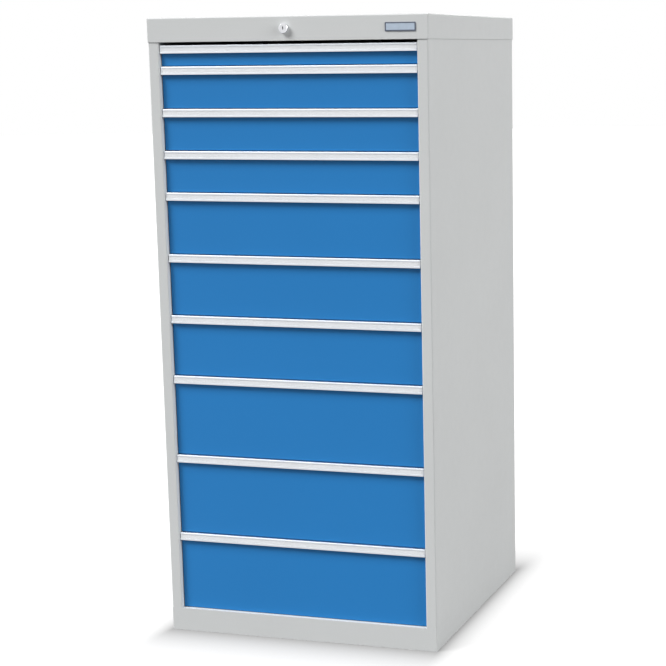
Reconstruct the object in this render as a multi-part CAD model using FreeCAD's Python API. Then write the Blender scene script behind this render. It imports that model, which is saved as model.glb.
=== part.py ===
import FreeCAD, Part
import math
import os

# A floor-standing steel cabinet with a column of full-width drawers under one central lock.
# Millimetres. +Z is up, +X is to the right seen from the front, and the front faces -Y.
# The origin is on the floor, under the middle of the body.

# ---------------------------------------------------------------- driving dimensions

# housing
body_width = 703.0  # over the side panels
body_depth = 724.0  # from the columns' front face to the back
height_unit = 50.0  # every drawer's pitch is a whole number of these
front_units = [1] + [2] * 3 + [3] * 3 + [4] * 3  # drawers, top to bottom
base_height = 57.5
stack_sink = 2.7  # the lowest pitch line lies this far below the deck's top
head_clearance = 6.2  # from the top drawer's pitch to the hood's lower edge
hood_skirt = 57.0
housing_sheet = 1.5
housing_bend = 2.0  # inside radius of the side panels' folds
cover_edge_radius = 3.0  # outside radius of the hood's edges
base_edge_radius = 1.5
column_width = 27.0
column_return = 32.0  # how far the column's inner edge runs back into the opening
rear_flange = 26.0
foot_flange = 24.0
hood_lip = 22.0  # the bezel's lower edge, folded back
hood_seat = 40.0  # how far the side panels reach up inside the hood
base_flange = 42.0
anchor_hole_radius = 5.5
anchor_inset_x = 24.0  # from the base's outside to the anchor hole
anchor_inset_y = 24.0

# drawer fronts
front_recess = 11.0  # from the columns' face to the painted fronts
front_sheet = 1.2
front_return = 14.0
front_edge_radius = 1.8
front_side_gap = 1.5
front_lower_gap = 0.4
front_upper_gap = 1.0
front_deck_gap = 0.9  # under the lowest front

# aluminium handle strip along the top of each front
strip_height = 19.0
strip_setback = 2.4  # from the columns' face to the strip's lower edge
strip_lean = 1.5  # how far the strip's top edge is set back from its lower edge
strip_wall = 1.5
strip_leg_height = 12.0
strip_end_gap = 1.5
strip_lip = 3.4  # solid band above and below the label groove
strip_curl = 1.9
label_depth = 1.2
label_catch = 0.9  # the groove's overhang that holds the label
catch_wall = 0.5
strip_top_radius = 1.5

# drawer trays
tray_sheet = 1.0
tray_rear_gap = 53.0  # from the trays to the back panel, where the lock bar runs
tray_floor_gap = 5.0
tray_top_gap = 5.0
tray_rim = 9.0
tray_rim_hem = 5.0

# runners: a channel on the cabinet, a roller carriage and a channel on the tray
channel_depth = 10.0
channel_height = 22.0
channel_sheet = 1.5
channel_rise = 21.0  # from a drawer's pitch line to the middle of its runners
channel_front_setback = 4.0
carriage_sheet = 2.0
carriage_tip_gap = 0.5
carriage_hug = 5.0  # the carriage's edges fold over the cabinet channel by this much
carriage_hug_gap = 0.8
roller_play = 0.3
roller_side_play = 0.7
roller_end_inset = 20.0
glide_length = 16.0
glide_mid_offset = 23.0
glide_play = 0.3
post_depth = 40.0
post_sheet = 1.5
post_gap = 4.0  # between the column's return and the front post
rear_post_inset = 2.0

# lock in the hood's bezel, and the bar that it lifts
lock_rise = 29.0  # above the hood's lower edge
lock_head_radius = 11.5
lock_head_length = 9.0
lock_head_bevel = 1.2
lock_barrel_radius = 9.0
lock_barrel_flats = 15.4  # across the two flats that keep the lock from turning in the bezel
lock_barrel_length = 28.0
lock_hole_play = 0.3
nut_across_flats = 24.0
nut_thickness = 4.0
plug_radius = 6.2
plug_play = 0.05
plug_recess = 0.8
keyway_height = 7.0
keyway_width = 2.6
keyway_depth = 8.0
cam_radius = 10.5
cam_thickness = 3.0
pin_radius = 2.0
pin_orbit = 7.0
pin_start = 45.0  # degrees below the horizontal, and as far above it when locked
pin_play = 0.35
pin_reach = 10.0  # how far the pin stands out behind the cam
arm_height = 16.0
arm_flange_width = 16.0
arm_cam_gap = 5.0
bar_sheet = 3.0
bar_width = 15.0
bar_floor_gap = 6.0
bar_tray_gap = 4.0
lug_height = 8.0
lug_depth = 4.5
lug_overhang = 1.5  # past the far side of the catch
lug_gap = 1.0  # from the catch's tooth, below it and in front of it
catch_rise = 25.0  # from a drawer's pitch line to the tip of its catch
catch_reach = 18.0  # how far the catch stands out behind its tray
catch_tooth = 4.0
catch_arm = 6.0
catch_sheet = 3.0
catch_side_gap = 3.0  # between the catch and the bar beside it
guide_play = 0.3
guide_sheet = 2.0
guide_width = 24.0
guide_flange = 14.0
guide_lower_rise = 60.0  # above the lowest drawer's pitch line
guide_upper_rise = 3.0  # above the hood's lower edge

# ---------------------------------------------------------------- derived places

front_pitches = [height_unit * units for units in front_units]
stack_height = sum(front_pitches)
stack_top = base_height - stack_sink + stack_height
hood_bottom = stack_top + head_clearance
cabinet_height = hood_bottom + hood_skirt
half_width = body_width / 2
half_depth = body_depth / 2
front_face = -half_depth
opening_half = half_width - column_width
cover_half_width = half_width + housing_sheet
cover_half_depth = half_depth + housing_sheet
panel_top = hood_bottom + hood_seat
back_inner_face = half_depth - 2 * housing_sheet  # the back sheet lies inside the rear flanges

panel_front = front_face + front_recess
front_back_edge = panel_front + front_return
front_half = opening_half - front_side_gap
strip_half = opening_half - strip_end_gap
strip_face = front_face + strip_setback

slide_space = 2 * (channel_depth + carriage_tip_gap) + carriage_sheet
tray_half = opening_half - slide_space
tray_front = front_back_edge
tray_back = back_inner_face - tray_rear_gap
channel_front = tray_front + channel_front_setback
channel_length = tray_back - channel_front
roller_radius = channel_height / 2 - channel_sheet - roller_play

lock_height = hood_bottom + lock_rise
bezel_front = -cover_half_depth
pin_angle = math.radians(pin_start)
bar_lift = 2 * pin_orbit * math.sin(pin_angle)
bar_front = tray_back + bar_tray_gap
bar_back = bar_front + bar_width
arm_middle = lock_height - pin_orbit * math.sin(pin_angle)
catch_side = bar_sheet / 2 + catch_side_gap

X = FreeCAD.Vector(1, 0, 0)
Y = FreeCAD.Vector(0, 1, 0)
Z = FreeCAD.Vector(0, 0, 1)
ORIGIN = FreeCAD.Vector(0, 0, 0)
FOUND = 1e-6  # how near an edge must lie to the place it is looked for
CUT_MARGIN = 2.0  # how far a cutting shape reaches past what it cuts
NUT_SIDES = 6


# ---------------------------------------------------------------- shared operations


def on_floor(a, b):
    return FreeCAD.Vector(a, b, 0)


def on_side(a, b):
    return FreeCAD.Vector(0, a, b)


def on_front(a, b):
    return FreeCAD.Vector(a, 0, b)


DIRECTIONS = {on_floor: Z, on_side: X, on_front: Y}


def block(low, high):
    """A box between two opposite corners."""
    size = [end - start for start, end in zip(low, high)]
    return Part.makeBox(*size, FreeCAD.Vector(*low))


def rod(radius, front, back, x=0.0, z=None):
    """A cylinder along Y, on the lock's axis unless it is placed elsewhere."""
    height = lock_height if z is None else z
    return Part.makeCylinder(radius, back - front, FreeCAD.Vector(x, front, height), Y)


def mirrored(shape):
    return shape.mirror(ORIGIN, X)


def outline(corners, plane):
    """A closed wire through corners of (a, b, radius), each rounded by its own radius."""
    runs = []
    for index, (a, b, radius) in enumerate(corners):
        here = plane(a, b)
        before = plane(*corners[index - 1][:2]) - here
        after = plane(*corners[(index + 1) % len(corners)][:2]) - here
        before.normalize()
        after.normalize()
        if radius <= 0:
            runs.append((here, None, here))
            continue
        half = before.getAngle(after) / 2
        reach = radius / math.tan(half)
        towards = before + after
        towards.normalize()
        crown = here + towards * (radius / math.sin(half) - radius)
        runs.append((here + before * reach, crown, here + after * reach))
    edges = []
    for index, (start, crown, stop) in enumerate(runs):
        edges.append(Part.LineSegment(runs[index - 1][2], start).toShape())
        if crown is not None:
            edges.append(Part.Arc(start, crown, stop).toShape())
    return Part.Wire(edges)


def prism(corners, plane, start, length):
    """A solid with the given outline, from start along the plane's normal."""
    direction = DIRECTIONS[plane]
    face = Part.Face(outline(corners, plane))
    face.translate(direction * start)
    return face.extrude(direction * length)


def folded(path, sheet, bend=None):
    """The outline of one sheet bent along path, with its thickness on the path's left.

    bend is the inside radius of every fold; without it the folds are sharp.
    """
    steps = []
    for (a0, b0), (a1, b1) in zip(path, path[1:]):
        length = math.hypot(a1 - a0, b1 - b0)
        steps.append(((a1 - a0) / length, (b1 - b0) / length))
    normals = [(-step_b, step_a) for step_a, step_b in steps]
    right, left = [], []
    for index, (a, b) in enumerate(path):
        first = normals[max(index - 1, 0)]
        second = normals[min(index, len(normals) - 1)]
        share = sheet / (1 + first[0] * second[0] + first[1] * second[1])
        offset = (share * (first[0] + second[0]), share * (first[1] + second[1]))
        radii = (0, 0)
        if bend is not None and 0 < index < len(path) - 1:
            turn = first[0] * second[1] - first[1] * second[0]
            radii = (bend + sheet, bend) if turn > 0 else (bend, bend + sheet)
        right.append((a, b, radii[0]))
        left.append((a + offset[0], b + offset[1], radii[1]))
    return right + left[::-1]


def open_box(low, high, sheet, open_side, radius, rounded):
    """A box of sheet without the wall on open_side, such as "-Z".

    rounded tells which of the outside edges get the radius.
    """
    outer = block(low, high)
    outer = outer.makeFillet(radius, [edge for edge in outer.Edges if rounded(edge)])
    axis = "XYZ".index(open_side[1])
    inner_low = [value + sheet for value in low]
    inner_high = [value - sheet for value in high]
    if open_side[0] == "-":
        inner_low[axis] = low[axis] - sheet
    else:
        inner_high[axis] = high[axis] + sheet
    return outer.cut(block(inner_low, inner_high))


def lies_at(edge, axis, level):
    """Whether all of an edge is at one level along an axis, 0 to 2 for X to Z."""
    box = edge.BoundBox
    low = (box.XMin, box.YMin, box.ZMin)[axis]
    high = (box.XMax, box.YMax, box.ZMax)[axis]
    return abs(low - level) < FOUND and abs(high - level) < FOUND


def pitch_lines():
    """The height of each drawer's lower pitch line and its pitch, top to bottom."""
    level = stack_top
    for pitch in front_pitches:
        level -= pitch
        yield level, pitch


def front_bottom(level):
    """The lower edge of a drawer's front, which stays clear of the deck."""
    return max(level + front_lower_gap, base_height + front_deck_gap)


def save(shape, name):
    shape.exportStep("parts/" + name + ".step")


# ---------------------------------------------------------------- housing


def side_panel():
    """The right side, its front column and its rear flange, folded from one sheet."""
    path = [
        (half_width - rear_flange, half_depth),
        (half_width, half_depth),
        (half_width, front_face),
        (opening_half, front_face),
        (opening_half, front_face + column_return),
    ]
    # the path runs forwards along the outside, so the sheet lies on its right
    path = path[::-1]
    wall = prism(folded(path, housing_sheet, housing_bend), on_floor, base_height, panel_top - base_height)
    foot = block(
        (half_width - foot_flange, front_face + column_return, base_height),
        (half_width - housing_sheet / 2, half_depth - rear_flange, base_height + housing_sheet),
    )
    return wall.fuse(foot).removeSplitter()


def back_panel():
    """The back sheet inside the rear flanges, with the lock bar's two guides."""
    edge = half_width - 2 * housing_sheet - housing_bend
    sheet = block(
        (-edge, back_inner_face, base_height),
        (edge, back_inner_face + housing_sheet, panel_top),
    )
    lower_guide = base_height + guide_lower_rise
    upper_guide = hood_bottom + guide_upper_rise
    return Part.makeCompound([sheet, bar_guide(lower_guide), bar_guide(upper_guide)])


def bar_guide(level):
    """An angle on the back panel with an open slot that the lock bar slides in."""
    slot_front = bar_front + bar_sheet
    path = [
        (slot_front, level),
        (back_inner_face, level),
        (back_inner_face, level - guide_flange),
    ]
    angle = prism(folded(path[::-1], guide_sheet), on_side, -guide_width / 2, guide_width)
    slot_half = bar_sheet / 2 + guide_play
    slot = block(
        (-slot_half, slot_front - CUT_MARGIN, level - guide_sheet - CUT_MARGIN),
        (slot_half, bar_back + guide_play, level + guide_sheet + CUT_MARGIN),
    )
    return angle.cut(slot)


def top_cover():
    """The hood: a shallow folded cap over the side panels, its bezel pierced for the lock."""
    cap = open_box(
        (-cover_half_width, -cover_half_depth, hood_bottom),
        (cover_half_width, cover_half_depth, cabinet_height),
        housing_sheet,
        "-Z",
        cover_edge_radius,
        lambda edge: not lies_at(edge, 2, hood_bottom),
    )
    lip = block(
        (-opening_half, front_face - housing_sheet / 2, hood_bottom),
        (opening_half, front_face + hood_lip, hood_bottom + housing_sheet),
    )
    hole = barrel_section(lock_hole_play, bezel_front - CUT_MARGIN, front_face + CUT_MARGIN)
    return cap.fuse(lip).cut(hole).removeSplitter()


def base_tray():
    """The plinth, flush with the body: a deck, its skirts, and flanges that stand on the floor."""
    deck = open_box(
        (-half_width, -half_depth, 0),
        (half_width, half_depth, base_height),
        housing_sheet,
        "-Z",
        base_edge_radius,
        lambda edge: not lies_at(edge, 2, 0) and not lies_at(edge, 2, base_height),
    )
    frame = block(
        (housing_sheet - half_width, housing_sheet - half_depth, 0),
        (half_width - housing_sheet, half_depth - housing_sheet, housing_sheet),
    )
    window = block(
        (base_flange - half_width, base_flange - half_depth, -CUT_MARGIN),
        (half_width - base_flange, half_depth - base_flange, housing_sheet + CUT_MARGIN),
    )
    holes = []
    for side in (-1, 1):
        for end in (-1, 1):
            centre = FreeCAD.Vector(
                side * (half_width - anchor_inset_x),
                end * (half_depth - anchor_inset_y),
                -CUT_MARGIN,
            )
            holes.append(
                Part.makeCylinder(anchor_hole_radius, housing_sheet + 2 * CUT_MARGIN, centre, Z)
            )
    return deck.fuse(frame.cut([window] + holes)).removeSplitter()


def rail_posts():
    """Four channel-section uprights inside the side panels, which carry the runners."""
    inner = opening_half
    outer = half_width - housing_sheet
    path = [
        (outer, 0),
        (inner, 0),
        (inner, post_depth),
        (outer, post_depth),
    ]
    section = folded(path[::-1], post_sheet)
    foot = base_height + housing_sheet
    front_post = prism(section, on_floor, foot, hood_bottom - foot)
    rear_post = front_post.copy()
    front_post.translate(Y * (front_face + column_return + post_gap))
    rear_post.translate(Y * (tray_back - rear_post_inset - post_depth))
    return Part.makeCompound([front_post, rear_post, mirrored(front_post), mirrored(rear_post)])


# ---------------------------------------------------------------- runners


def channel(web, tips, level):
    """A runner channel: its web is at one place across the width, and its tips at another."""
    into = 1 if tips > web else -1
    half = channel_height / 2
    face = web + into * channel_sheet
    corners = [
        (web, level - half, 0),
        (tips, level - half, 0),
        (tips, level - half + channel_sheet, 0),
        (face, level - half + channel_sheet, 0),
        (face, level + half - channel_sheet, 0),
        (tips, level + half - channel_sheet, 0),
        (tips, level + half, 0),
        (web, level + half, 0),
    ]
    return prism(corners, on_front, channel_front, channel_length)


def cabinet_rails():
    """The fixed channels, open towards the drawers, one pair to each drawer."""
    rails = []
    for level, _ in pitch_lines():
        rail = channel(opening_half, opening_half - channel_depth, level + channel_rise)
        rails += [rail, mirrored(rail)]
    return Part.makeCompound(rails)


def drawer_runners(level):
    """The pair of channels on the tray's sides."""
    rail = channel(tray_half, tray_half + channel_depth, level + channel_rise)
    return Part.makeCompound([rail, mirrored(rail)])


def carriage(level):
    """A drawer's pair of roller carriages, between its own channels and the cabinet's."""
    middle = level + channel_rise
    inner_face = tray_half + channel_depth + carriage_tip_gap
    outer_face = inner_face + carriage_sheet
    half = channel_height / 2 + carriage_hug_gap + carriage_sheet
    reach = outer_face + carriage_tip_gap + carriage_hug
    corners = [
        (inner_face, middle - half, 0),
        (reach, middle - half, 0),
        (reach, middle - half + carriage_sheet, 0),
        (outer_face, middle - half + carriage_sheet, 0),
        (outer_face, middle + half - carriage_sheet, 0),
        (reach, middle + half - carriage_sheet, 0),
        (reach, middle + half, 0),
        (inner_face, middle + half, 0),
    ]
    plate = prism(corners, on_front, channel_front, channel_length)
    width = channel_depth - channel_sheet - roller_side_play + carriage_tip_gap
    centre_line = channel_front + channel_length / 2
    roller = Part.makeCylinder(
        roller_radius,
        width,
        FreeCAD.Vector(inner_face - width, channel_front + roller_end_inset, middle),
        X,
    )
    # the tray's channel runs on the roller and the first glide, and the carriage on the other two
    glides = [
        (inner_face - width, centre_line - glide_mid_offset),
        (outer_face, centre_line + glide_mid_offset),
        (outer_face, channel_front + channel_length - roller_end_inset),
    ]
    glide_half = channel_height / 2 - channel_sheet - glide_play
    pieces = [plate, roller]
    for start, place in glides:
        pieces.append(
            block(
                (start, place - glide_length / 2, middle - glide_half),
                (start + width, place + glide_length / 2, middle + glide_half),
            )
        )
    side = Part.makeCompound(pieces)
    return Part.makeCompound(side.Solids + mirrored(side).Solids)


# ---------------------------------------------------------------- drawers


def drawer_front(level, pitch):
    """The painted front: a shallow pan, open towards the tray."""
    return open_box(
        (-front_half, panel_front, front_bottom(level)),
        (front_half, front_back_edge, level + pitch - front_upper_gap),
        front_sheet,
        "+Y",
        front_edge_radius,
        lambda edge: lies_at(edge, 1, panel_front),
    )


def handle_strip(level, pitch):
    """The extruded grip: a leg on the front, a web, and a leaning face with a label groove."""
    top = level + pitch - front_upper_gap
    bottom = top - strip_height
    length = math.hypot(strip_lean, strip_height)
    along = (strip_lean / length, strip_height / length)
    inward = (strip_height / length, -strip_lean / length)

    def face_point(rise, depth, radius=0.0):
        """A corner of the leaning face: rise up the face, depth in from its surface."""
        a = strip_face + along[0] * rise + inward[0] * depth
        b = bottom + along[1] * rise + inward[1] * depth
        return (a, b, radius)

    face_wall = strip_wall + label_depth
    groove_low = strip_lip
    groove_high = length - strip_lip
    leg_back = panel_front
    leg_front = panel_front - strip_wall
    curl_end = strip_face + strip_curl
    under_web = top - strip_wall
    # where the inside of the leaning face meets the underside of the web
    meet = (under_web - face_point(0, face_wall)[1]) / along[1]
    # where the inside of the leaning face meets the top of the lower lip
    curl_top = bottom + strip_wall
    curl_meet = (curl_top - face_point(0, face_wall)[1]) / along[1]
    corners = [
        face_point(0, 0),
        (curl_end + strip_wall, bottom, 0),
        (curl_end + strip_wall, curl_top, 0),
        face_point(curl_meet, face_wall),
        face_point(meet, face_wall),
        (leg_front, under_web, 0),
        (leg_front, top - strip_leg_height, 0),
        (leg_back, top - strip_leg_height, 0),
        (leg_back, top, 0),
        face_point(length, 0, strip_top_radius),
        face_point(groove_high, 0),
        face_point(groove_high - label_catch, 0),
        face_point(groove_high - label_catch, catch_wall),
        face_point(groove_high, catch_wall),
        face_point(groove_high, label_depth),
        face_point(groove_low, label_depth),
        face_point(groove_low, catch_wall),
        face_point(groove_low + label_catch, catch_wall),
        face_point(groove_low + label_catch, 0),
    ]
    return prism(corners, on_side, -strip_half, 2 * strip_half)


def drawer_tray(level, pitch):
    """The tray: a trough with hemmed rims and two end walls, and the catch welded behind it."""
    floor = level + tray_floor_gap
    rim = level + pitch - tray_top_gap
    path = [
        (tray_half - tray_rim, rim - tray_rim_hem),
        (tray_half - tray_rim, rim),
        (tray_half, rim),
        (tray_half, floor),
        (-tray_half, floor),
        (-tray_half, rim),
        (tray_rim - tray_half, rim),
        (tray_rim - tray_half, rim - tray_rim_hem),
    ]
    section = folded(path[::-1], tray_sheet)
    trough = prism(section, on_front, tray_front, tray_back - tray_front)
    # the front wall also closes the back of the painted front
    front_wall = block(
        (-front_half, tray_front, front_bottom(level)),
        (front_half, tray_front + tray_sheet, level + pitch - front_upper_gap),
    )
    back_wall = block(
        (-tray_half, tray_back - tray_sheet, floor),
        (tray_half, tray_back, rim),
    )
    tray = trough.fuse([front_wall, back_wall]).removeSplitter()
    return Part.makeCompound([tray, lock_catch(level)])


def lock_catch(level):
    """The down-turned hook behind a tray, beside the lock bar."""
    tip_height = level + catch_rise
    arm_bottom = tip_height + bar_lift
    arm_top = arm_bottom + catch_arm
    reach = tray_back + catch_reach
    corners = [
        (tray_back, arm_bottom, 0),
        (reach - catch_tooth, arm_bottom, 0),
        (reach - catch_tooth, tip_height, 0),
        (reach, tip_height, 0),
        (reach, arm_top, 0),
        (tray_back, arm_top, 0),
    ]
    return prism(corners, on_side, catch_side, catch_sheet)


# ---------------------------------------------------------------- lock


def barrel_section(play, front, back):
    """The barrel's round section with its two flats, with some play all round."""
    flat = lock_barrel_flats / 2 + play
    reach = lock_barrel_radius + play
    between_flats = block((-flat, front, lock_height - reach), (flat, back, lock_height + reach))
    return rod(reach, front, back).common(between_flats)


def lock_housing():
    """The lock's round head and barrel through the bezel, with its nut behind."""
    head_front = bezel_front - lock_head_length
    barrel_back = bezel_front + lock_barrel_length
    head = rod(lock_head_radius, head_front, bezel_front)
    outer_rim = [edge for edge in head.Edges if lies_at(edge, 1, head_front)]
    head = head.makeChamfer(lock_head_bevel, outer_rim)
    barrel = barrel_section(0, bezel_front, barrel_back)
    bore = rod(plug_radius + plug_play, head_front - CUT_MARGIN, barrel_back + CUT_MARGIN)
    body = head.fuse(barrel).cut(bore).removeSplitter()
    return Part.makeCompound([body, lock_nut()])


def lock_nut():
    """The hexagon nut that clamps the lock against the inside of the bezel."""
    corner_radius = nut_across_flats / 2 / math.cos(math.pi / NUT_SIDES)
    corners = []
    for corner in range(NUT_SIDES):
        turn = math.tau * corner / NUT_SIDES
        rise = corner_radius * math.sin(turn)
        corners.append((corner_radius * math.cos(turn), lock_height + rise, 0))
    nut = prism(corners, on_front, front_face, nut_thickness)
    nut_back = front_face + nut_thickness
    return nut.cut(rod(lock_barrel_radius, front_face - CUT_MARGIN, nut_back + CUT_MARGIN))


def lock_plug():
    """The turning plug with its keyway, and the cam whose pin lifts the bar."""
    face = bezel_front - lock_head_length + plug_recess
    rear = bezel_front + lock_barrel_length + plug_play
    cam_back = rear + cam_thickness
    slot = block(
        (-keyway_width / 2, face - CUT_MARGIN, lock_height - keyway_height / 2),
        (keyway_width / 2, face + keyway_depth, lock_height + keyway_height / 2),
    )
    plug = rod(plug_radius, face, rear).cut(slot)
    pin = rod(
        pin_radius,
        cam_back - cam_thickness / 2,
        cam_back + pin_reach,
        -pin_orbit * math.cos(pin_angle),
        lock_height - pin_orbit * math.sin(pin_angle),
    )
    cam = rod(cam_radius, rear, cam_back).fuse(pin).removeSplitter()
    return Part.makeCompound([plug, cam])


def lock_bar():
    """The welded lifting bar: an upright with a lug for each drawer, and an arm to the cam's pin."""
    half = bar_sheet / 2
    cam_back = bezel_front + lock_barrel_length + plug_play + cam_thickness
    flange_front = cam_back + arm_cam_gap
    arm_bottom = arm_middle - arm_height / 2
    arm_top = arm_middle + arm_height / 2
    flange_back = flange_front + bar_sheet
    upright = block(
        (-half, bar_front, base_height + bar_floor_gap),
        (half, bar_back, arm_bottom),
    )
    arm = block((-half, flange_back, arm_bottom), (half, bar_back, arm_top))
    flange = block(
        (-arm_flange_width, flange_front, arm_bottom),
        (half, flange_back, arm_top),
    )
    slot_half = pin_radius + pin_play
    slot = block(
        (-pin_orbit - slot_half, flange_front - CUT_MARGIN, arm_middle - slot_half),
        (
            slot_half - pin_orbit * math.cos(pin_angle),
            flange_back + CUT_MARGIN,
            arm_middle + slot_half,
        ),
    )
    lugs = [bar_lug(level) for level, _ in pitch_lines()]
    return Part.makeCompound([upright, arm, flange.cut(slot)] + lugs)


def bar_lug(level):
    """One lug on the bar's side, which rises in front of a tray's catch."""
    top = level + catch_rise - lug_gap
    back = tray_back + catch_reach - catch_tooth - lug_gap
    return block(
        (bar_sheet / 2, back - lug_depth, top - lug_height),
        (catch_side + catch_sheet + lug_overhang, back, top),
    )


# ---------------------------------------------------------------- the sub-parts

os.makedirs("parts", exist_ok=True)

right_panel = side_panel()
save(right_panel, "side_panel_right")
save(mirrored(right_panel), "side_panel_left")
save(back_panel(), "back_panel")
save(top_cover(), "top_cover")
save(base_tray(), "base_tray")
save(rail_posts(), "rail_posts")
save(cabinet_rails(), "cabinet_rails")
save(lock_housing(), "lock_housing")
save(lock_plug(), "lock_plug")
save(lock_bar(), "lock_bar")

for number, (level, pitch) in enumerate(pitch_lines(), start=1):
    suffix = "_%02d" % number
    save(drawer_front(level, pitch), "drawer_front" + suffix)
    save(handle_strip(level, pitch), "handle_strip" + suffix)
    save(drawer_tray(level, pitch), "drawer_tray" + suffix)
    save(drawer_runners(level), "drawer_runners" + suffix)
    save(carriage(level), "roller_carriage" + suffix)
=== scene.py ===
import math

import bmesh
import bpy
from mathutils import Matrix, Vector


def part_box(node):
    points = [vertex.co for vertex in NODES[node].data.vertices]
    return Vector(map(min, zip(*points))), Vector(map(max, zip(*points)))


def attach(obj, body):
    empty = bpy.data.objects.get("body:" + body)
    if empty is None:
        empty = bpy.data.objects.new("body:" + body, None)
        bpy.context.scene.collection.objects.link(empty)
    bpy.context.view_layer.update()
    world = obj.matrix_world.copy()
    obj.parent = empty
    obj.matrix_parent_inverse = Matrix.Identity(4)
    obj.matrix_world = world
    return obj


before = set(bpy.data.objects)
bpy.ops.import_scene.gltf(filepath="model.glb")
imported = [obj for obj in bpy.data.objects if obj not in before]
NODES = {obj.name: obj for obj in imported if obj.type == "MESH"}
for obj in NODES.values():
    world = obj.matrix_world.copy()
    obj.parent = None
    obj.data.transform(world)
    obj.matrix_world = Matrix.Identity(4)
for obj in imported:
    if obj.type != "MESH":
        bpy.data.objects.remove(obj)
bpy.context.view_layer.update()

# The cabinet stands on the floor at Z = 0 and faces -Y. Everything is in metres.

MM = 0.001
X = Vector((1, 0, 0))
Y = Vector((0, 1, 0))
Z = Vector((0, 0, 1))
DRAWERS = sorted(name[-2:] for name in NODES if name.startswith("drawer_front_"))

# camera, solved on a square picture of this many pixels a side; its turns are in radians
PICTURE = 666
SENSOR = 36.0
FOCAL_PIXELS = 1801.9
PRINCIPAL_POINT = (468.0, 398.0)
CAMERA_PLACE = (1.6432, -4.3416, 1.4295)
CAMERA_YAW = 0.2943
CAMERA_DOWN = 0.1895
CAMERA_ROLL = -0.0113
CAMERA_REACH = 100.0

# colours, sRGB from 0 to 255; ALUMINIUM to CHROME are the tints of bare metals
HOUSING_GREY = (201, 203, 203)
FRONT_BLUE = (31, 118, 184)
TRAY_GREY = (196, 198, 199)
LABEL_WHITE = (223, 224, 226)
ALUMINIUM = (195, 199, 204)
ZINC = (188, 191, 196)
STEEL = (172, 174, 178)
CHROME = (228, 229, 232)
PASSIVATED_ZINC = (196, 196, 188)
COVER_FILM = (236, 240, 244)
COVER_SCUFF = (246, 248, 250)
PLATE_RIM_GREY = (84, 92, 108)
PLATE_FIELD_GREY = (176, 190, 206)
# painted shade: the keyway piece's near-black stands in for the shade inside the lock plug's slot
KEYWAY_SHADE_BLACK = (12, 12, 13)
FLOOR_GREY = (97, 97, 97)

# settings of the surfaces; a metal's lines run along the axis whose stretch is small
PAINT_SPECULAR = 0.3
COVER_ALPHA = 0.16
BEVEL_SAMPLES = 6
LINES_ACROSS = (0.02, 1.0, 1.0)
LINES_UP = (1.0, 1.0, 0.02)

# the mix node's colour sockets: two inputs and an output
MIX_FIRST = 6
MIX_SECOND = 7
MIX_RESULT = 2

# the studio's brightness: 1 is white
ROOM_LIGHT = 0.27
# the floor's glow drops to GLOW_AT_FOOT at the cabinet's foot: painted shade, on top of the floor's
# real shade there
GLOW_AT_FOOT = 0.24
GLOW_AWAY = 0.97
# over these distances, sideways and to the front, the painted shade at the foot falls to about a
# third
SIDE_SHADE = 34.0 * MM
FRONT_SHADE = 110.0 * MM

# the handle strip's section, as its groove is cut
STRIP_LEAN = 1.5 * MM
GROOVE_LIP = 3.4 * MM
GROOVE_DEPTH = 1.2 * MM

# the label card and its clear cover in the groove
LABEL_SHEET = 0.5 * MM
LABEL_COVER = 0.5 * MM
LABEL_CLEARANCE = 0.05 * MM  # between the card and its cover
LABEL_PLAY = 0.15 * MM  # above and below them
LABEL_END_GAP = 2.5 * MM
LABEL_CORNER = 0.4 * MM
LABEL_EASE = 0.05 * MM

# the name plate on the bezel: its middle, its size, its frame's section and its field
PLATE_ACROSS = 286.0 * MM
PLATE_UP = 1489.4 * MM
PLATE_WIDTH = 74.5 * MM
PLATE_HEIGHT = 20.5 * MM
PLATE_CORNER = 1.6 * MM
PLATE_LEAST_CORNER = 0.5 * MM
PLATE_RIM = 2.6 * MM
PLATE_PROUD = 1.6 * MM
PLATE_SUNK = 0.7 * MM  # from the rim down to the field
PLATE_OUTER_EASE = 0.4 * MM
PLATE_INNER_EASE = 0.3 * MM
FIELD_PLAY = 0.2 * MM
FIELD_SHEET = 0.3 * MM
FIELD_CORNER = 0.5 * MM
FIELD_EASE = 0.1 * MM

# the keyway inside the plug's slot, a near-black piece whose colour is painted shade
KEYWAY_SUNK = 0.7 * MM  # from the plug's face
KEYWAY_LENGTH = 7.0 * MM
KEYWAY_HALF_WIDTH = 1.24 * MM
KEYWAY_HALF_HEIGHT = 3.45 * MM
RIGHT_WARD_WIDTH = 0.72 * KEYWAY_HALF_WIDTH  # from the middle out to each ward
LEFT_WARD_WIDTH = 0.66 * KEYWAY_HALF_WIDTH

# places of the roller and the first glide, as the carriage's solids are made, and their pins' heads
CARRIAGE_FOLD = 5.5 * MM  # from the carriage's outer edge in to its web
ROLLER_INSET = 20.0 * MM  # from the carriage's front end
GLIDE_OFFSET = 23.0 * MM  # to the front of the carriage's middle
AXLE_HEAD_RADIUS = 3.4 * MM
AXLE_HEAD_HEIGHT = 1.3 * MM

# a rivet head's shape, as shares of its radius and its height
DOME_SECTION = ((1.0, 0.0), (1.0, 0.3), (0.9, 0.62), (0.66, 0.86), (0.32, 0.97))

# how finely round shapes are divided, and how wide the floor is
CORNER_STEPS = 5
DOME_SIDES = 16
FLOOR_SIDES = 96
FLOOR_RADIUS = 30.0


# ---------------------------------------------------------------- materials


def linear(colour):
    """Linear RGBA of an sRGB colour from 0 to 255."""
    channels = []
    for value in colour:
        share = value / 255
        channels.append(share / 12.92 if share <= 0.04045 else ((share + 0.055) / 1.055) ** 2.4)
    return (*channels, 1.0)


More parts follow.
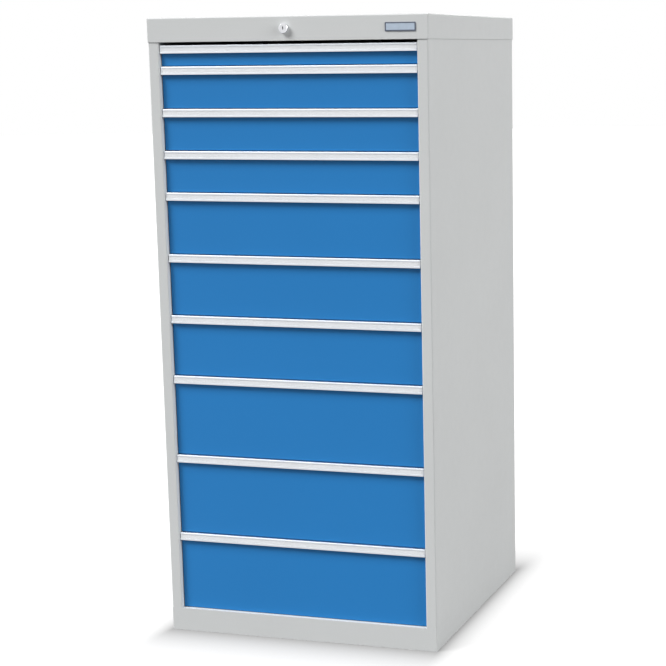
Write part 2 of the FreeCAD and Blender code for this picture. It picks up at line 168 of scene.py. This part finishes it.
class Surface:
    """A Principled material, with short calls for the nodes that vary it."""

    def __init__(self, name, roughness, metallic=0.0):
        self.material = bpy.data.materials.new(name)
        self.material.use_nodes = True
        self.nodes = self.material.node_tree.nodes
        self.links = self.material.node_tree.links
        self.shader = self.nodes["Principled BSDF"]
        self.shader.inputs["Roughness"].default_value = roughness
        self.shader.inputs["Metallic"].default_value = metallic
        self.place = self.nodes.new("ShaderNodeTexCoord").outputs["Object"]

    def noise(self, scale, detail=2.0, stretch=(1.0, 1.0, 1.0)):
        """Noise with a number of features to the metre, drawn out along the axes of small stretch."""
        mapping = self.nodes.new("ShaderNodeMapping")
        mapping.inputs["Scale"].default_value = stretch
        self.links.new(self.place, mapping.inputs["Vector"])
        texture = self.nodes.new("ShaderNodeTexNoise")
        texture.inputs["Scale"].default_value = scale
        texture.inputs["Detail"].default_value = detail
        self.links.new(mapping.outputs["Vector"], texture.inputs["Vector"])
        return texture.outputs["Fac"]

    def ramp(self, factor, low, high, start=0.3, stop=0.7):
        """Values from low to high as the factor goes from start to stop."""
        node = self.nodes.new("ShaderNodeMapRange")
        for name, value in (
            ("From Min", start),
            ("From Max", stop),
            ("To Min", low),
            ("To Max", high),
        ):
            node.inputs[name].default_value = value
        self.links.new(factor, node.inputs["Value"])
        return node.outputs["Result"]

    def blend(self, factor, first, second):
        """Colour from first to second by the factor."""
        node = self.nodes.new("ShaderNodeMix")
        node.data_type = "RGBA"
        self.links.new(factor, node.inputs["Factor"])
        for index, value in ((MIX_FIRST, first), (MIX_SECOND, second)):
            socket = node.inputs[index]
            if isinstance(value, bpy.types.NodeSocket):
                self.links.new(value, socket)
            else:
                socket.default_value = linear(value)
        return node.outputs[MIX_RESULT]

    def colour(self, source):
        """Takes the base colour from a socket."""
        self.links.new(source, self.shader.inputs["Base Color"])

    def roughness(self, source):
        """Takes the roughness from a socket."""
        self.links.new(source, self.shader.inputs["Roughness"])

    def relief(self, height, depth, edge=0.0):
        """Bump of a depth in metres, over edges softened to a radius in metres."""
        bump = self.nodes.new("ShaderNodeBump")
        bump.inputs["Distance"].default_value = depth
        self.links.new(height, bump.inputs["Height"])
        if edge > 0:
            bevel = self.nodes.new("ShaderNodeBevel")
            bevel.samples = BEVEL_SAMPLES
            bevel.inputs["Radius"].default_value = edge
            self.links.new(bevel.outputs["Normal"], bump.inputs["Normal"])
        self.links.new(bump.outputs["Normal"], self.shader.inputs["Normal"])


def darker(colour, share):
    """A colour brought down to a share of its brightness."""
    return tuple(value * share for value in colour)


def powder_coat(name, colour, roughness):
    """Baked powder paint: an even colour, a fine orange peel and a slightly uneven sheen."""
    surface = Surface(name, roughness)
    surface.shader.inputs["Specular IOR Level"].default_value = PAINT_SPECULAR
    cloud = surface.ramp(surface.noise(scale=3.0), 0.0, 1.0)
    speck = surface.ramp(surface.noise(scale=2200.0, detail=1.0), 0.0, 1.0, start=0.45, stop=0.75)
    tone = surface.blend(cloud, darker(colour, 0.985), colour)
    surface.colour(surface.blend(speck, tone, darker(colour, 0.965)))
    sheen = surface.noise(scale=40.0, detail=3.0)
    surface.roughness(surface.ramp(sheen, roughness - 0.05, roughness + 0.05))
    surface.relief(surface.noise(scale=900.0), depth=0.03 * MM, edge=0.6 * MM)
    return surface.material


def drawn_metal(name, colour, roughness, stretch, edge):
    """Metal with fine lines along the axis of small stretch, as extruding or rolling leaves them."""
    surface = Surface(name, roughness, metallic=1.0)
    lines = surface.noise(scale=2600.0, detail=3.0, stretch=stretch)
    surface.colour(surface.blend(surface.ramp(lines, 0.0, 1.0), darker(colour, 0.97), colour))
    surface.roughness(surface.ramp(lines, roughness - 0.05, roughness + 0.07))
    surface.relief(lines, depth=0.002 * MM, edge=edge)
    return surface.material


def zinc_plate(name, colour, roughness):
    """Bright zinc: a faint spangle and cloudy passivation."""
    surface = Surface(name, roughness, metallic=1.0)
    cells = surface.nodes.new("ShaderNodeTexVoronoi")
    cells.inputs["Scale"].default_value = 160.0
    surface.links.new(surface.place, cells.inputs["Vector"])
    spangle = surface.ramp(cells.outputs["Distance"], 0.0, 1.0, start=0.0, stop=0.6)
    tone = surface.blend(spangle, darker(colour, 0.93), colour)
    cloud = surface.ramp(surface.noise(scale=18.0, detail=4.0), 0.0, 0.5)
    surface.colour(surface.blend(cloud, tone, PASSIVATED_ZINC))
    sheen = surface.noise(scale=60.0, detail=4.0)
    surface.roughness(surface.ramp(sheen, roughness - 0.08, roughness + 0.1))
    surface.relief(surface.noise(scale=900.0), depth=0.008 * MM, edge=0.4 * MM)
    return surface.material


def polished_chrome():
    """Chrome plate with a light haze from use."""
    surface = Surface("chrome_plate", roughness=0.14, metallic=1.0)
    haze = surface.noise(scale=120.0, detail=4.0)
    surface.colour(surface.blend(surface.ramp(haze, 0.0, 1.0), darker(CHROME, 0.97), CHROME))
    surface.roughness(surface.ramp(haze, 0.1, 0.2))
    surface.relief(surface.noise(scale=600.0), depth=0.002 * MM, edge=0.3 * MM)
    return surface.material


def label_card():
    """Blank card behind a clear cover, with a very faint fibre."""
    surface = Surface("label_card", roughness=0.55)
    fibre = surface.noise(scale=1800.0, detail=4.0, stretch=(0.35, 1.0, 1.0))
    share = surface.ramp(fibre, 0.0, 1.0)
    surface.colour(surface.blend(share, darker(LABEL_WHITE, 0.975), LABEL_WHITE))
    surface.roughness(surface.ramp(fibre, 0.5, 0.6))
    surface.relief(fibre, depth=0.003 * MM)
    return surface.material


def clear_cover():
    """The thin clear plastic that holds a label down."""
    surface = Surface("clear_cover", roughness=0.3)
    surface.shader.inputs["Alpha"].default_value = COVER_ALPHA
    scuff = surface.noise(scale=240.0, detail=4.0, stretch=(0.2, 1.0, 1.0))
    surface.colour(surface.blend(surface.ramp(scuff, 0.0, 1.0), COVER_FILM, COVER_SCUFF))
    surface.roughness(surface.ramp(scuff, 0.26, 0.36))
    return surface.material


def moulded(name, colour, roughness):
    """Moulded or enamelled: a slight mottle and a soft grain."""
    surface = Surface(name, roughness)
    mottle = surface.noise(scale=90.0, detail=4.0)
    surface.colour(surface.blend(surface.ramp(mottle, 0.0, 1.0), darker(colour, 0.96), colour))
    surface.roughness(surface.ramp(mottle, roughness - 0.05, roughness + 0.08))
    surface.relief(surface.noise(scale=1500.0), depth=0.008 * MM, edge=0.2 * MM)
    return surface.material


housing_paint = powder_coat("housing_paint", HOUSING_GREY, roughness=0.58)
front_paint = powder_coat("front_paint", FRONT_BLUE, roughness=0.46)
tray_paint = powder_coat("tray_paint", TRAY_GREY, roughness=0.5)
strip_metal = drawn_metal("strip_aluminium", ALUMINIUM, 0.48, stretch=LINES_ACROSS, edge=0.35 * MM)
runner_metal = zinc_plate("runner_zinc", ZINC, roughness=0.36)
bar_metal = drawn_metal("bar_steel", STEEL, 0.36, stretch=LINES_UP, edge=0.3 * MM)
lock_metal = polished_chrome()
card = label_card()
cover_film = clear_cover()
plate_rim_paint = moulded("plate_rim", PLATE_RIM_GREY, roughness=0.4)
plate_field_paint = moulded("plate_field", PLATE_FIELD_GREY, roughness=0.35)
# painted shade: a near-black finish for the keyway piece, in place of the slot's shade
keyway_shade_paint = moulded("keyway_painted_shade", KEYWAY_SHADE_BLACK, roughness=0.85)

NODE_PAINTS = {
    "side_panel_left": housing_paint,
    "side_panel_right": housing_paint,
    "back_panel": housing_paint,
    "top_cover": housing_paint,
    "base_tray": housing_paint,
    "rail_posts": tray_paint,
    "cabinet_rails": runner_metal,
    "lock_housing": lock_metal,
    "lock_plug": lock_metal,
    "lock_bar": bar_metal,
}
DRAWER_PAINTS = {
    "drawer_front_": front_paint,
    "handle_strip_": strip_metal,
    "drawer_tray_": tray_paint,
    "drawer_runners_": runner_metal,
    "roller_carriage_": runner_metal,
}


def paint(obj, material):
    """Gives an object one material in place of those it has."""
    obj.data.materials.clear()
    obj.data.materials.append(material)


for node_name, obj in NODES.items():
    paint(obj, NODE_PAINTS.get(node_name) or DRAWER_PAINTS[node_name[:-2]])


# ---------------------------------------------------------------- small pieces


def piece(name, mesh, material, body):
    """Adds a bmesh as a piece that rides on a body."""
    data = bpy.data.meshes.new(name)
    bmesh.ops.recalc_face_normals(mesh, faces=mesh.faces)
    mesh.to_mesh(data)
    mesh.free()
    data.materials.append(material)
    obj = bpy.data.objects.new(name, data)
    bpy.context.scene.collection.objects.link(obj)
    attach(obj, body)


def rounded_rectangle(width, height, radius):
    """Corners of a rectangle in its own plane, anticlockwise, with round corners."""
    points = []
    for across, up, start in ((1, 1, 0), (-1, 1, 1), (-1, -1, 2), (1, -1, 3)):
        centre_a = across * (width / 2 - radius)
        centre_b = up * (height / 2 - radius)
        for step in range(CORNER_STEPS + 1):
            turn = (start + step / CORNER_STEPS) * math.pi / 2
            points.append((centre_a + radius * math.cos(turn), centre_b + radius * math.sin(turn)))
    return points


def stacked(mesh, rings):
    """Joins rings of points, all of one length, into a skin that is closed at both ends."""
    loops = [[mesh.verts.new(point) for point in ring] for ring in rings]
    count = len(loops[0])
    for lower, upper in zip(loops, loops[1:]):
        for index in range(count):
            following = (index + 1) % count
            mesh.faces.new((lower[index], lower[following], upper[following], upper[index]))
    mesh.faces.new(loops[0][::-1])
    mesh.faces.new(loops[-1])


def pillow(mesh, origin, across, up, out, width, height, thickness, radius, ease):
    """A thin plate with round corners and an eased front edge, its back centred on origin."""
    section = (
        (0.0, 0.0),
        (0.0, thickness - ease),
        (0.3 * ease, thickness - 0.3 * ease),
        (ease, thickness),
    )
    rings = []
    for inset, rise in section:
        corner = max(radius - inset, ease * 0.5)
        corners = rounded_rectangle(width - 2 * inset, height - 2 * inset, corner)
        rings.append([origin + across * a + up * b + out * rise for a, b in corners])
    stacked(mesh, rings)


def dome(mesh, origin, axis, radius, height):
    """A low domed rivet head standing on origin along an axis."""
    axis = Vector(axis).normalized()
    side = axis.orthogonal().normalized()
    other = axis.cross(side)
    rings = []
    for share, rise in DOME_SECTION:
        ring = []
        for index in range(DOME_SIDES):
            turn = math.tau * index / DOME_SIDES
            ring.append(
                origin
                + (side * math.cos(turn) + other * math.sin(turn)) * (radius * share)
                + axis * (height * rise)
            )
        rings.append(ring)
    stacked(mesh, rings)


def add_labels(number):
    """The blank label card in a strip's groove, and its clear cover."""
    low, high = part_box("handle_strip_" + number)
    height = high.z - low.z
    slope = math.hypot(STRIP_LEAN, height)
    up = Vector((0, STRIP_LEAN, height)) / slope
    out = Vector((0, -height, STRIP_LEAN)) / slope
    middle = Vector((0, low.y, low.z)) + up * (slope / 2)
    width = high.x - low.x - 2 * LABEL_END_GAP
    tall = slope - 2 * (GROOVE_LIP + LABEL_PLAY)
    floor = middle - out * GROOVE_DEPTH
    mesh = bmesh.new()
    pillow(mesh, floor, X, up, out, width, tall, LABEL_SHEET, LABEL_CORNER, LABEL_EASE)
    piece("label_card_" + number, mesh, card, "drawer_" + number)
    mesh = bmesh.new()
    cover_floor = floor + out * (LABEL_SHEET + LABEL_CLEARANCE)
    pillow(mesh, cover_floor, X, up, out, width, tall, LABEL_COVER, LABEL_CORNER, LABEL_EASE)
    piece("label_cover_" + number, mesh, cover_film, "drawer_" + number)


for number in DRAWERS:
    add_labels(number)


def add_name_plate():
    """The small bare plate at the right of the hood's bezel."""
    centre = Vector((PLATE_ACROSS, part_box("top_cover")[0].y, PLATE_UP))
    # how far in from the outside, and how far out of the bezel
    section = (
        (0.0, 0.0),
        (0.0, PLATE_PROUD - PLATE_OUTER_EASE),
        (PLATE_OUTER_EASE, PLATE_PROUD),
        (PLATE_RIM - PLATE_INNER_EASE, PLATE_PROUD),
        (PLATE_RIM, PLATE_PROUD - PLATE_SUNK),
    )
    rings = []
    for inset, rise in section:
        corner = max(PLATE_CORNER - inset, PLATE_LEAST_CORNER)
        corners = rounded_rectangle(PLATE_WIDTH - 2 * inset, PLATE_HEIGHT - 2 * inset, corner)
        rings.append([centre + X * a + Z * b - Y * rise for a, b in corners])
    mesh = bmesh.new()
    stacked(mesh, rings)
    piece("name_plate_rim", mesh, plate_rim_paint, "cabinet")
    field = centre - Y * (PLATE_PROUD - PLATE_SUNK)
    width = PLATE_WIDTH - 2 * (PLATE_RIM + FIELD_PLAY)
    height = PLATE_HEIGHT - 2 * (PLATE_RIM + FIELD_PLAY)
    mesh = bmesh.new()
    pillow(mesh, field, X, Z, -Y, width, height, FIELD_SHEET, FIELD_CORNER, FIELD_EASE)
    piece("name_plate_field", mesh, plate_field_paint, "cabinet")


add_name_plate()


def add_keyway():
    """The warded keyway inside the plug's slot, near-black: painted shade for the dark deep in the
    slot.
    """
    low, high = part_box("lock_housing")
    axis_height = (low.z + high.z) / 2
    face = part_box("lock_plug")[0].y + KEYWAY_SUNK
    # down the right side and up the left, with a ward standing in from each
    profile = [
        (-KEYWAY_HALF_WIDTH, KEYWAY_HALF_HEIGHT),
        (KEYWAY_HALF_WIDTH, KEYWAY_HALF_HEIGHT),
        (KEYWAY_HALF_WIDTH, 1.6 * MM),
        (RIGHT_WARD_WIDTH, 1.2 * MM),
        (RIGHT_WARD_WIDTH, 0.2 * MM),
        (KEYWAY_HALF_WIDTH, -0.2 * MM),
        (KEYWAY_HALF_WIDTH, -KEYWAY_HALF_HEIGHT),
        (-KEYWAY_HALF_WIDTH, -KEYWAY_HALF_HEIGHT),
        (-KEYWAY_HALF_WIDTH, -1.9 * MM),
        (-LEFT_WARD_WIDTH, -1.5 * MM),
        (-LEFT_WARD_WIDTH, -0.6 * MM),
        (-KEYWAY_HALF_WIDTH, -0.2 * MM),
    ]
    mesh = bmesh.new()
    rings = []
    for depth in (0.0, KEYWAY_LENGTH):
        rings.append([Vector((a, face + depth, axis_height + b)) for a, b in profile])
    stacked(mesh, rings)
    # the piece is near-black, painted shade for the inside of the slot
    piece("lock_keyway", mesh, keyway_shade_paint, "lock_plug")


add_keyway()


def add_axle_heads(number):
    """The riveted heads of the roller's and the first glide's pins, on the carriages' outsides."""
    low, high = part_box("roller_carriage_" + number)
    middle = (low.z + high.z) / 2
    mesh = bmesh.new()
    for side in (-1, 1):
        outside = side * (high.x - CARRIAGE_FOLD)
        for place in (low.y + ROLLER_INSET, (low.y + high.y) / 2 - GLIDE_OFFSET):
            foot = Vector((outside, place, middle))
            dome(mesh, foot, (side, 0, 0), AXLE_HEAD_RADIUS, AXLE_HEAD_HEIGHT)
    piece("axle_heads_" + number, mesh, bar_metal, "carriage_" + number)


for number in DRAWERS:
    add_axle_heads(number)


# ---------------------------------------------------------------- studio


def shine_only_on_view(nodes, links, strength):
    """An emission strength, a number or a socket, that only camera, mirror and glass rays meet."""
    path = nodes.new("ShaderNodeLightPath")
    total = path.outputs["Is Camera Ray"]
    for name in ("Is Glossy Ray", "Is Transmission Ray"):
        add = nodes.new("ShaderNodeMath")
        add.operation = "MAXIMUM"
        links.new(total, add.inputs[0])
        links.new(path.outputs[name], add.inputs[1])
        total = add.outputs[0]
    scale = nodes.new("ShaderNodeMath")
    scale.operation = "MULTIPLY"
    if isinstance(strength, bpy.types.NodeSocket):
        links.new(strength, scale.inputs[1])
    else:
        scale.inputs[1].default_value = strength
    links.new(total, scale.inputs[0])
    return scale.outputs[0]


def painted_foot_shade(surface, half_x, half_y):
    """Painted shade: a value of 1 at the cabinet's foot, which fades away over the floor around it.
    """
    value = surface.place
    steps = (
        ("ABSOLUTE", (0, 0, 0)),
        ("SUBTRACT", (half_x, half_y, 0)),
        ("MAXIMUM", (0, 0, 0)),
        ("MULTIPLY", (1 / SIDE_SHADE, 1 / FRONT_SHADE, 0)),
    )
    for operation, operand in steps:
        node = surface.nodes.new("ShaderNodeVectorMath")
        node.operation = operation
        node.inputs[1].default_value = operand
        surface.links.new(value, node.inputs[0])
        value = node.outputs["Vector"]
    length = surface.nodes.new("ShaderNodeVectorMath")
    length.operation = "LENGTH"
    surface.links.new(value, length.inputs[0])
    falling = surface.nodes.new("ShaderNodeMath")
    falling.operation = "POWER"
    falling.inputs[0].default_value = 1 / math.e
    surface.links.new(length.outputs["Value"], falling.inputs[1])
    return falling.outputs[0]


def studio_world():
    """An even dim room, which looks white to the camera and in reflections."""
    world = bpy.data.worlds.new("studio")
    bpy.context.scene.world = world
    world.use_nodes = True
    nodes, links = world.node_tree.nodes, world.node_tree.links
    background = nodes["Background"]
    background.inputs["Color"].default_value = (1, 1, 1, 1)
    seen = shine_only_on_view(nodes, links, 1.0 - ROOM_LIGHT)
    add = nodes.new("ShaderNodeMath")
    add.operation = "ADD"
    add.inputs[1].default_value = ROOM_LIGHT
    links.new(seen, add.inputs[0])
    links.new(add.outputs[0], background.inputs["Strength"])


def studio_floor():
    """The floor, which looks white except close to the cabinet's foot, where its glow is held back by
    a painted shade and its real shade shows too.
    """
    mesh = bmesh.new()
    bmesh.ops.create_circle(mesh, cap_ends=True, radius=FLOOR_RADIUS, segments=FLOOR_SIDES)
    data = bpy.data.meshes.new("studio_floor")
    mesh.to_mesh(data)
    mesh.free()
    floor = bpy.data.objects.new("studio_floor", data)
    bpy.context.scene.collection.objects.link(floor)
    surface = Surface("studio_floor", roughness=0.9)
    surface.shader.inputs["Base Color"].default_value = linear(FLOOR_GREY)
    surface.shader.inputs["Emission Color"].default_value = (1, 1, 1, 1)
    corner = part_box("base_tray")[1]
    shade = painted_foot_shade(surface, corner.x, corner.y)
    # painted shade: the floor's glow dims towards the foot in a set fade, longer to the front than to
    # the sides
    strength = surface.ramp(shade, GLOW_AWAY, GLOW_AT_FOOT, start=0.0, stop=1.0)
    glow = shine_only_on_view(surface.nodes, surface.links, strength)
    surface.links.new(glow, surface.shader.inputs["Emission Strength"])
    data.materials.append(surface.material)


def far_light(name, direction, level, spread):
    """A soft lamp so far off that its light is even, with its spread in radians.

    At level 1, white that faces it shows as white.
    """
    light = bpy.data.lights.new(name, "SUN")
    light.energy = level * math.pi
    light.angle = spread
    obj = bpy.data.objects.new(name, light)
    obj.rotation_mode = "QUATERNION"
    obj.rotation_quaternion = Vector(direction).to_track_quat("Z", "Y")
    bpy.context.scene.collection.objects.link(obj)


def studio_camera():
    """The photograph's camera. The photograph is cut from a wider picture, hence the shift."""
    data = bpy.data.cameras.new("photo_camera")
    data.sensor_width = SENSOR
    data.lens = FOCAL_PIXELS / PICTURE * SENSOR
    data.shift_x = (PICTURE / 2 - PRINCIPAL_POINT[0]) / PICTURE
    data.shift_y = (PRINCIPAL_POINT[1] - PICTURE / 2) / PICTURE
    data.clip_end = CAMERA_REACH
    camera = bpy.data.objects.new("photo_camera", data)
    turn = Matrix.Rotation(CAMERA_YAW, 4, "Z")
    tilt = Matrix.Rotation(math.pi / 2 - CAMERA_DOWN, 4, "X")
    roll = Matrix.Rotation(CAMERA_ROLL, 4, "Z")
    camera.matrix_world = Matrix.Translation(CAMERA_PLACE) @ turn @ tilt @ roll
    bpy.context.scene.collection.objects.link(camera)
    bpy.context.scene.camera = camera


studio_world()
studio_floor()
far_light("key_light", direction=(-0.58, -0.41, 0.71), level=1.35, spread=0.45)
far_light("side_light", direction=(0.92, -0.25, 0.30), level=0.63, spread=0.5)
far_light("back_light", direction=(0.0, 0.96, 0.28), level=0.38, spread=0.5)
studio_camera()
bpy.context.scene.view_settings.view_transform = "Standard"
